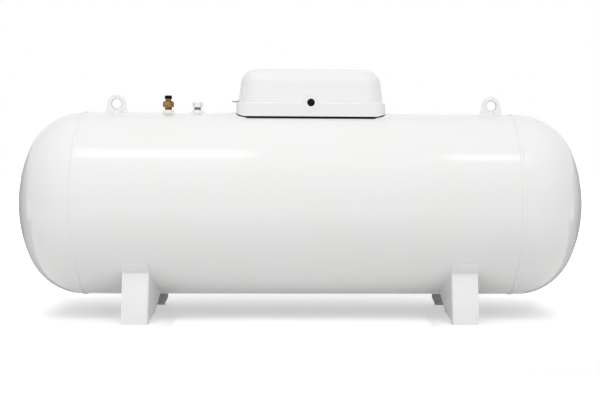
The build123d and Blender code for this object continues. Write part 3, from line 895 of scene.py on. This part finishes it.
# Fill valve: a brass hexagon body with a threaded neck on the second coupling, under a
# black screw cap with grip ribs.
fill_seat = (fill_x, 0.0, valve_coupling_top_z)
fill_thread_radius = 0.0205
fill_cap_low = 0.0602
grip_sides = 72
grip_every = 3
grip_reach = 1.045


def on_rib(face):
    """Say if a side face of the cap is one that stands out as a grip rib."""
    sideways = abs(face.normal.z) < 0.01 and face.area > 0.00001
    turn = atan2(face.center.y, face.center.x - fill_x)
    return sideways and round(turn / (2 * pi / grip_sides) - 0.5) % grip_every == 0


fill_body = hexagon(0.0320, 0.0002, 0.0335, fill_seat)
fill_rings = ((0.0240, 0.0330), (0.0240, 0.0360), (0.0205, 0.0365), (0.0205, 0.0598))
fill_neck = turned(fill_rings, fill_seat)
join_parts([fill_body, fill_neck, thread(fill_thread_radius, 0.0390, 7, fill_seat)])
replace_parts(finish_piece("fill_body", brass, "tank"), "fill_valve")
grip_rings = (
    (0.0290, 0.0), (0.0304, 0.0012), (0.0304, 0.0290), (0.0296, 0.0320), (0.0280, 0.0336),
    (0.0230, 0.0336), (0.0220, 0.0326),
)
grip = turned(grip_rings, fill_seat, sides=grip_sides, low=fill_cap_low)
pick("FACE", grip.data.polygons, on_rib)
bpy.ops.mesh.inset(thickness=0.0003)
bpy.ops.mesh.extrude_region_move()
bpy.ops.transform.resize(value=(grip_reach, grip_reach, 1.0), center_override=fill_seat)
close_shell()
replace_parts(finish_piece("fill_screw_cap", black_moulding, "tank"), "fill_cap")


# Service valve: a forged brass body with a threaded outlet to the rear, a steel spindle
# under a cast aluminium handwheel, and a small pressure gauge to the front.
service_seat = (service_x, 0.0, valve_coupling_top_z)
outlet_place = (service_x, 0.0, service_seat[2] + 0.050)
wheel_place = (service_x, 0.0, service_seat[2] + 0.094)
wheel_edge = 0.0025
case_back = 0.0440
case_radius = 0.0250
pressures = ("0", "5", "10", "15", "20", "25")
pressure_now = 0.28
to_rear = (-pi / 2, 0.0, 0.0)
to_front = (pi / 2, 0.0, 0.0)
body_rings = (
    (0.0185, 0.0200), (0.0200, 0.0265), (0.0200, 0.0640), (0.0180, 0.0670), (0.0150, 0.0680),
    (0.0150, 0.0775), (0.0140, 0.0780),
)
outlet_rings = (
    (0.0120, 0.0100), (0.0120, 0.0280), (0.0150, 0.0285), (0.0150, 0.0330), (0.0130, 0.0335),
    (0.0130, 0.0615), (0.0110, 0.0618), (0.0100, 0.0618), (0.0095, 0.0560),
)
base = hexagon(0.0300, 0.0002, 0.0238, service_seat)
body = turned(body_rings, service_seat)
packing_nut = hexagon(0.0175, 0.0680, 0.0085, service_seat)
outlet = turned(outlet_rings, outlet_place, to_rear)
gauge_stem = turned(((0.0060, 0.0100), (0.0060, 0.0445)), outlet_place, to_front)
stem_nut = hexagon(0.0068, 0.0300, 0.0090, outlet_place, to_front)
outlet_thread = thread(0.0130, 0.0360, 9, outlet_place, to_rear)
join_parts([base, body, packing_nut, outlet, gauge_stem, stem_nut, outlet_thread])
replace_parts(finish_piece("service_body", brass, "tank"), "service_valve")
turned(((0.0060, 0.0770), (0.0060, 0.0938), (0.0052, 0.0945)), service_seat, sides=32)
finish_piece("service_spindle", zinc, "tank")
cast_aluminium = metal(
    "cast_aluminium",
    Bright=(0.72, 0.72, 0.73), Tarnished=(0.55, 0.55, 0.55),
    Dull_Low=0.35, Dull_High=0.55, Tool_Marks=0.0, Stain_Size=200.0,
)
round_edges("service_handwheel", wheel_edge, cast_aluminium, "tank", "handwheel")
boss_rings = ((0.0100, 0.0115), (0.0100, 0.0128), (0.0085, 0.0140), (0.0040, 0.0140))
turned(boss_rings, wheel_place, sides=32)
finish_piece("handwheel_boss", zinc, "tank")
case_rings = (
    (0.0230, 0.0), (0.0240, 0.0010), (0.0240, 0.0150), (case_radius, 0.0155), (case_radius, 0.0210),
    (0.0240, 0.0220), (0.0222, 0.0220), (0.0218, 0.0180),
)
turned(case_rings, outlet_place, to_front, low=case_back)
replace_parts(finish_piece("pressure_case", zinc, "tank"), "pressure_gauge")
case_face = (service_x, -(case_back + 0.0182), outlet_place[2])
case_rim = case_radius - 0.0033
fit_dial(
    "pressure", case_face, to_front, case_radius, case_rim, 0.0003, 0.0008, pressures, pressure_now
)


# Hood collar and its rubber strip: a folded steel rim welded to the shell, with a rolled
# flange that shows at both ends, and a black strip on it that the hood closes over.
hood_x = 0.044
flange_half_length = 0.436
flange_half_depth = 0.174
flange_corner = 0.050
collar_edge = 0.0006
collar_bead_size = 0.0025
collar_bead_out = 0.0005
rubber = moulded(
    "rubber",
    colour=(0.004, 0.004, 0.004), dusty=(0.016, 0.016, 0.015), dull=0.55, dusty_dull=0.75,
    grain_size=500.0, grain=0.4, Specular_IOR_Level=0.15,
)
round_edges("hood_collar", collar_edge, pad_enamel, "tank", "collar")
dress(frame["nodes"]["hood_gasket"], rubber)
bead_length = flange_half_length + collar_bead_out
bead_depth = flange_half_depth + collar_bead_out
flange_line = rounded_loop(bead_length, -bead_depth, bead_depth, flange_corner)
flange_route = [on_crest(hood_x + u, v) for u, v in finely(flange_line)]
lay_bead("collar_bead", [flange_route], collar_bead_size)


# Hinges: two steel brackets welded behind the hood, each with a headed pin, and straps
# screwed to the hood's back that turn on the pins.
hinges = {"left": hood_x - 0.230, "right": hood_x + 0.230}
hinge_z = 1.105
hinge_edge = 0.0006
hinge_pin_edge = 0.0008
strap_face_y = 0.180 + 0.0042
screw_rings = ((0.0035, -0.001), (0.0036, 0.0004), (0.0030, 0.0014), (0.0014, 0.0020))
for side_name, hinge_x in hinges.items():
    round_edges(f"hinge_bracket_{side_name}", hinge_edge, zinc, "tank")
    round_edges(f"hinge_pin_{side_name}", hinge_pin_edge, zinc, "tank")
    round_edges(f"hood_strap_{side_name}", hinge_edge, zinc, "hood")
    screws = []
    for rise in (0.016, 0.032):
        for across in (-0.008, 0.008):
            screw_place = (hinge_x + across, strap_face_y, hinge_z + rise)
            screws.append(turned(screw_rings, screw_place, to_rear, sides=24))
    join_parts(screws)
    finish_piece(f"strap_screws_{side_name}", zinc, "hood")


# Hood: a cover moulded in white plastic, 4 mm thick, with an upright band, a ledge and a
# drafted dome. It is glossy, with the faint unevenness of a large moulding.
hood_gloss = enamel(
    "hood_gloss",
    Fresh=enamel_white, Aged=(0.80, 0.795, 0.785), Dull_Low=0.16, Dull_High=0.24,
    Peel=0.004, Peel_Size=200.0, Plate_Waves=0.5,
)
dress(frame["nodes"]["hood"], hood_gloss)


# Lock: a black plastic barrel in the raised boss on the hood's front, with a key slot
# under a thin rim, and a zinc-plated tongue behind it that catches under the collar.
lock_place = (hood_x, -0.1790, 1.1685)
lock_rings = (
    (0.0190, -0.044), (0.0206, -0.043), (0.0206, -0.0010), (0.0200, -0.0002), (0.0180, -0.0002),
    (0.0172, -0.0016), (0.0090, -0.0016), (0.0084, -0.0006),
)
lock_tongue_edge = 0.0005
barrel_lock = turned(lock_rings, lock_place, to_front)
bpy.ops.mesh.primitive_cube_add(size=1.0, location=(hood_x, lock_place[1] + 0.003, lock_place[2]))
key_slot = bpy.context.object
key_slot.scale = (0.0022, 0.009, 0.0100)
bpy.ops.object.transform_apply()
combine("DIFFERENCE", barrel_lock, key_slot)
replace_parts(finish_piece("lock_body", black_moulding, "hood"), "lock_barrel")
round_edges("lock_cam", lock_tongue_edge, zinc, "hood", "lock_tongue")


# Stay pin: a plated bolt through the hood's left end with a washer outside, for the cord
# that would keep the open hood from falling back.
pin_place = (-0.353, 0.0, 1.1777)
pin_nut_radius = 0.0072
pin_nut_height = 0.0050
to_left = (0.0, -pi / 2, 0.0)
pin_plating = metal(
    "pin_plating",
    Bright=(0.44, 0.435, 0.42), Tarnished=(0.30, 0.295, 0.28),
    Dull_Low=0.30, Dull_High=0.45, Stain_Size=150.0,
)
shank_rings = ((0.0038, -0.0195), (0.0038, 0.0368), (0.0030, 0.0378))
washer_rings = ((0.0085, 0.0003), (0.0090, 0.0006), (0.0090, 0.0028), (0.0086, 0.0032))
pin_shank = turned(shank_rings, pin_place, to_left, sides=32)
pin_washer = turned(washer_rings, pin_place, to_left, sides=40)
pin_nut = hexagon(pin_nut_radius, 0.0030, pin_nut_height, pin_place, to_left)
pin_inner_nut = hexagon(pin_nut_radius, -0.0110, pin_nut_height, pin_place, to_left)
join_parts([pin_shank, pin_washer, pin_nut, pin_inner_nut])
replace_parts(finish_piece("stay_bolt", pin_plating, "hood"), "stay_pin")


# Studio floor: a wide sheet of pale paper that takes the tank's shadow. A glow that only
# the camera, reflections and glass see brings it up to white away from the tank. It throws
# light up from in front of the tank only, as if a grey sheet lay under and behind it.
floor_size = (60.0, 60.0)
floor_white = (0.86, 0.86, 0.86)
floor_shade = (0.2, 0.2, 0.2)
floor_seen = (0.68, 0.68, 0.68)
floor_glow_near = 0.46
floor_glow_far = 0.80
floor_glow_clear = 1.05
pure_white = (1.0, 1.0, 1.0)


def seen_rays(tree):
    """Return 1 for rays from the camera, a reflection or clear glass, and 0 for others."""
    path = add_node(tree, "LightPath").outputs
    polished = maths(tree, "MAXIMUM", path["Is Glossy Ray"], path["Is Transmission Ray"])
    return maths(tree, "MAXIMUM", path["Is Camera Ray"], polished)


def fades_in(tree, value, start, end):
    """Return 0 before a start, 1 after an end and a ramp between them."""
    return spread(tree, value, start, end, 0.0, 1.0)


def studio_sheet(name, size, place, turn, paper, unseen_by=()):
    """Lay or stand a flat sheet that some kinds of light ray don't meet."""
    bpy.ops.mesh.primitive_plane_add(size=1.0, location=place, rotation=turn)
    sheet = bpy.context.object
    sheet.name = name
    sheet.scale = (*size, 1.0)
    bpy.ops.object.transform_apply()
    dress(sheet, paper)
    for ray in unseen_by:
        setattr(sheet, f"visible_{ray}", False)
    return sheet


bpy.ops.object.select_all(action="DESELECT")
floor_paper, tree, shader = new_finish("floor_paper", Roughness=0.95, Specular_IOR_Level=0.0)
seen = seen_rays(tree)
floor_axes = axes_of(tree)
from_side = maths(tree, "ABSOLUTE", floor_axes["X"])
under_tank = fades_in(tree, floor_axes["Y"], -0.15, 0.15)
floor_throw = blend_colours(tree, under_tank, floor_white, floor_shade)
feed(tree, shader.inputs["Base Color"], blend_colours(tree, seen, floor_throw, floor_seen))
past_ends = fades_in(tree, from_side, 1.28, 1.65)
behind = fades_in(tree, floor_axes["Y"], 0.30, 1.15)
beyond = maths(tree, "MAXIMUM", past_ends, behind)
floor_rise = spread(tree, beyond, 0.0, 1.0, floor_glow_near, floor_glow_far, "SMOOTHSTEP")
clear_ahead = fades_in(tree, floor_axes["Y"], -1.7, -2.7)
clear_behind = fades_in(tree, floor_axes["Y"], 1.3, 2.3)
clear_beside = fades_in(tree, from_side, 2.2, 3.2)
clear_along = maths(tree, "MAXIMUM", clear_ahead, clear_behind)
clear = maths(tree, "MAXIMUM", clear_along, clear_beside)
floor_light = spread(tree, clear, 0.0, 1.0, floor_rise, floor_glow_clear, "SMOOTHSTEP")
glow = add_node(tree, "Emission", {"Color": pure_white})
feed(tree, glow.inputs["Strength"], maths(tree, "MULTIPLY", seen, floor_light))
paper = add_node(tree, "AddShader", {0: shader.outputs["BSDF"], 1: glow.outputs["Emission"]})
feed(tree, tree.nodes["Material Output"].inputs["Surface"], paper.outputs[0])
floor = studio_sheet("studio_floor", floor_size, (0.0, 0.0, 0.0), upright, floor_paper)


# Studio lamps: a wide soft box above and in front, a low front fill, a weaker one from
# behind that spares the floor, and two long soft boxes whose reflections draw the bright
# lines along the upper front of the barrel.
lamp_beam = 70.0
open_beam = 180.0
for name, place, aim, size, strength, shows, beam in (
    ("overhead_box", (0.3, -2.8, 4.2), (0.0, 0.0, 0.6), (8.0, 1.2), 20.5, False, lamp_beam),
    ("front_fill", (0.0, -6.5, 2.0), (0.0, 0.0, 0.6), (7.0, 3.0), 13.2, False, lamp_beam),
    ("rear_fill", (0.0, 6.0, 1.2), (0.0, 0.0, 0.7), (3.0, 2.2), 17.0, False, lamp_beam),
    ("left_strip", (-1.03, -1.48, 3.37), (-1.03, -0.43, 0.87), (1.3, 0.62), 6.8, True, open_beam),
    ("right_strip", (1.42, -1.67, 3.37), (1.42, -0.43, 0.87), (0.62, 0.46), 2.7, True, open_beam),
):
    lamp = bpy.data.lights.new(name, "AREA")
    lamp.shape = "RECTANGLE"
    lamp.size, lamp.size_y = size
    lamp.energy = strength
    lamp.spread = radians(beam)
    box = set_out(name, lamp)
    box.location = place
    box.rotation_euler = (Vector(aim) - Vector(place)).to_track_quat("-Z", "Y").to_euler()
    box.visible_camera = False
    box.visible_glossy = shows
lit_from_behind = bpy.data.collections.new("lit_from_behind")
for piece in bpy.context.scene.objects:
    if piece.type == "MESH" and piece != floor:
        lit_from_behind.objects.link(piece)
bpy.data.objects["rear_fill"].light_linking.receiver_collection = lit_from_behind


# Cards: grey ones behind the ends and a black one behind the tank, whose reflections draw
# the round edges of the white tank against the white paper, and a black one just inside
# the legs at each end that keeps their webs darker. None of them shows to the camera.
card_ink = (0.02, 0.02, 0.02)
card_grey_low = (0.55, 0.55, 0.55)
card_grey_high = (0.9, 0.9, 0.9)
leg_card_x = 0.68
matt = dict(Roughness=1.0, Specular_IOR_Level=0.0)
card_black, tree, shader = new_finish("card_black", Base_Color=card_ink, **matt)
standing = (pi / 2, 0.0, 0.0)
flag = studio_sheet(
    "black_card_rear", (2.4, 0.6), (0.0, 1.0, 0.3), standing, card_black, ("camera", "shadow")
)
card_one_way, tree, shader = new_finish("card_one_way", Base_Color=card_ink, **matt)
see_through = add_node(tree, "BsdfTransparent").outputs["BSDF"]
turned_back = add_node(tree, "NewGeometry").outputs["Backfacing"]
leg_card_axes = axes_of(tree)
fade_up = fades_in(tree, leg_card_axes["Z"], 0.03, 0.15)
fade_back = fades_in(tree, leg_card_axes["Y"], -0.25, 0.0)
faded = maths(tree, "MAXIMUM", fade_up, fade_back)
clear = maths(tree, "MAXIMUM", turned_back, faded)
one_way = add_node(tree, "MixShader", {0: clear, 1: shader.outputs["BSDF"], 2: see_through})
feed(tree, tree.nodes["Material Output"].inputs["Surface"], one_way.outputs[0])
card_grey, tree, shader = new_finish("card_grey", **matt)
card_fade = fades_in(tree, axes_of(tree)["Z"], 0.5, 1.3)
card_shade = blend_colours(tree, card_fade, card_grey_low, card_grey_high)
feed(tree, shader.inputs["Base Color"], card_shade)
for side_name, side in (("left", -1), ("right", 1)):
    leg_card = studio_sheet(
        f"black_card_leg_{side_name}",
        (0.20, 0.48),
        (side * leg_card_x, -0.24, 0.10),
        (0.0, side * pi / 2, 0.0),
        card_one_way,
        ("camera", "glossy", "shadow"),
    )
    for part_name, size, place, turn in (
        ("standing", (3.4, 1.3), (side * 3.2, 2.4, 0.66), (pi / 2, 0.0, side * radians(-55))),
        ("lying", (3.2, 3.4), (side * 2.9, 1.8, 0.01), upright),
    ):
        name = f"grey_card_{part_name}_{side_name}"
        card = studio_sheet(name, size, place, turn, card_grey, ("camera", "shadow", "diffuse"))


# Surround: an even white room that lights the tank softly, and a white backdrop for the
# camera, reflections and glass.
surround_strength = 0.6
studio = bpy.data.worlds.new("studio")
studio.use_nodes = True
bpy.context.scene.world = studio
tree = studio.node_tree
surround = tree.nodes["Background"]
feed(tree, surround.inputs["Color"], pure_white)
feed(tree, surround.inputs["Strength"], surround_strength)
backdrop = add_node(tree, "Background", {"Color": pure_white, "Strength": 1.0})
seen_world = add_node(
    tree,
    "MixShader",
    {0: seen_rays(tree), 1: surround.outputs["Background"], 2: backdrop.outputs["Background"]},
)
feed(tree, tree.nodes["World Output"].inputs["Surface"], seen_world.outputs[0])


# Camera: at the photograph's height and angle, with a long lens that is shifted sideways,
# as the tank doesn't stand in the middle of the frame.
camera = set_out("camera", bpy.data.cameras.new("camera"))
camera_place = (-0.02484, -6.58324, 0.91325)
camera_right = Vector((0.99942486, -0.03347605, 0.00541264))
camera_up = Vector((-0.00399466, 0.04228073, 0.99909778))
camera_ahead = Vector((0.03367469, 0.99854479, -0.04212269))
camera_turn = Matrix((camera_right, camera_up, -camera_ahead)).transposed()
camera.matrix_world = Matrix.Translation(camera_place) @ camera_turn.to_4x4()
camera.data.lens = 71.086
camera.data.sensor_width = 36.0
camera.data.shift_x = -0.06293
bpy.context.scene.camera = camera
bpy.context.scene.view_settings.view_transform = "Standard"
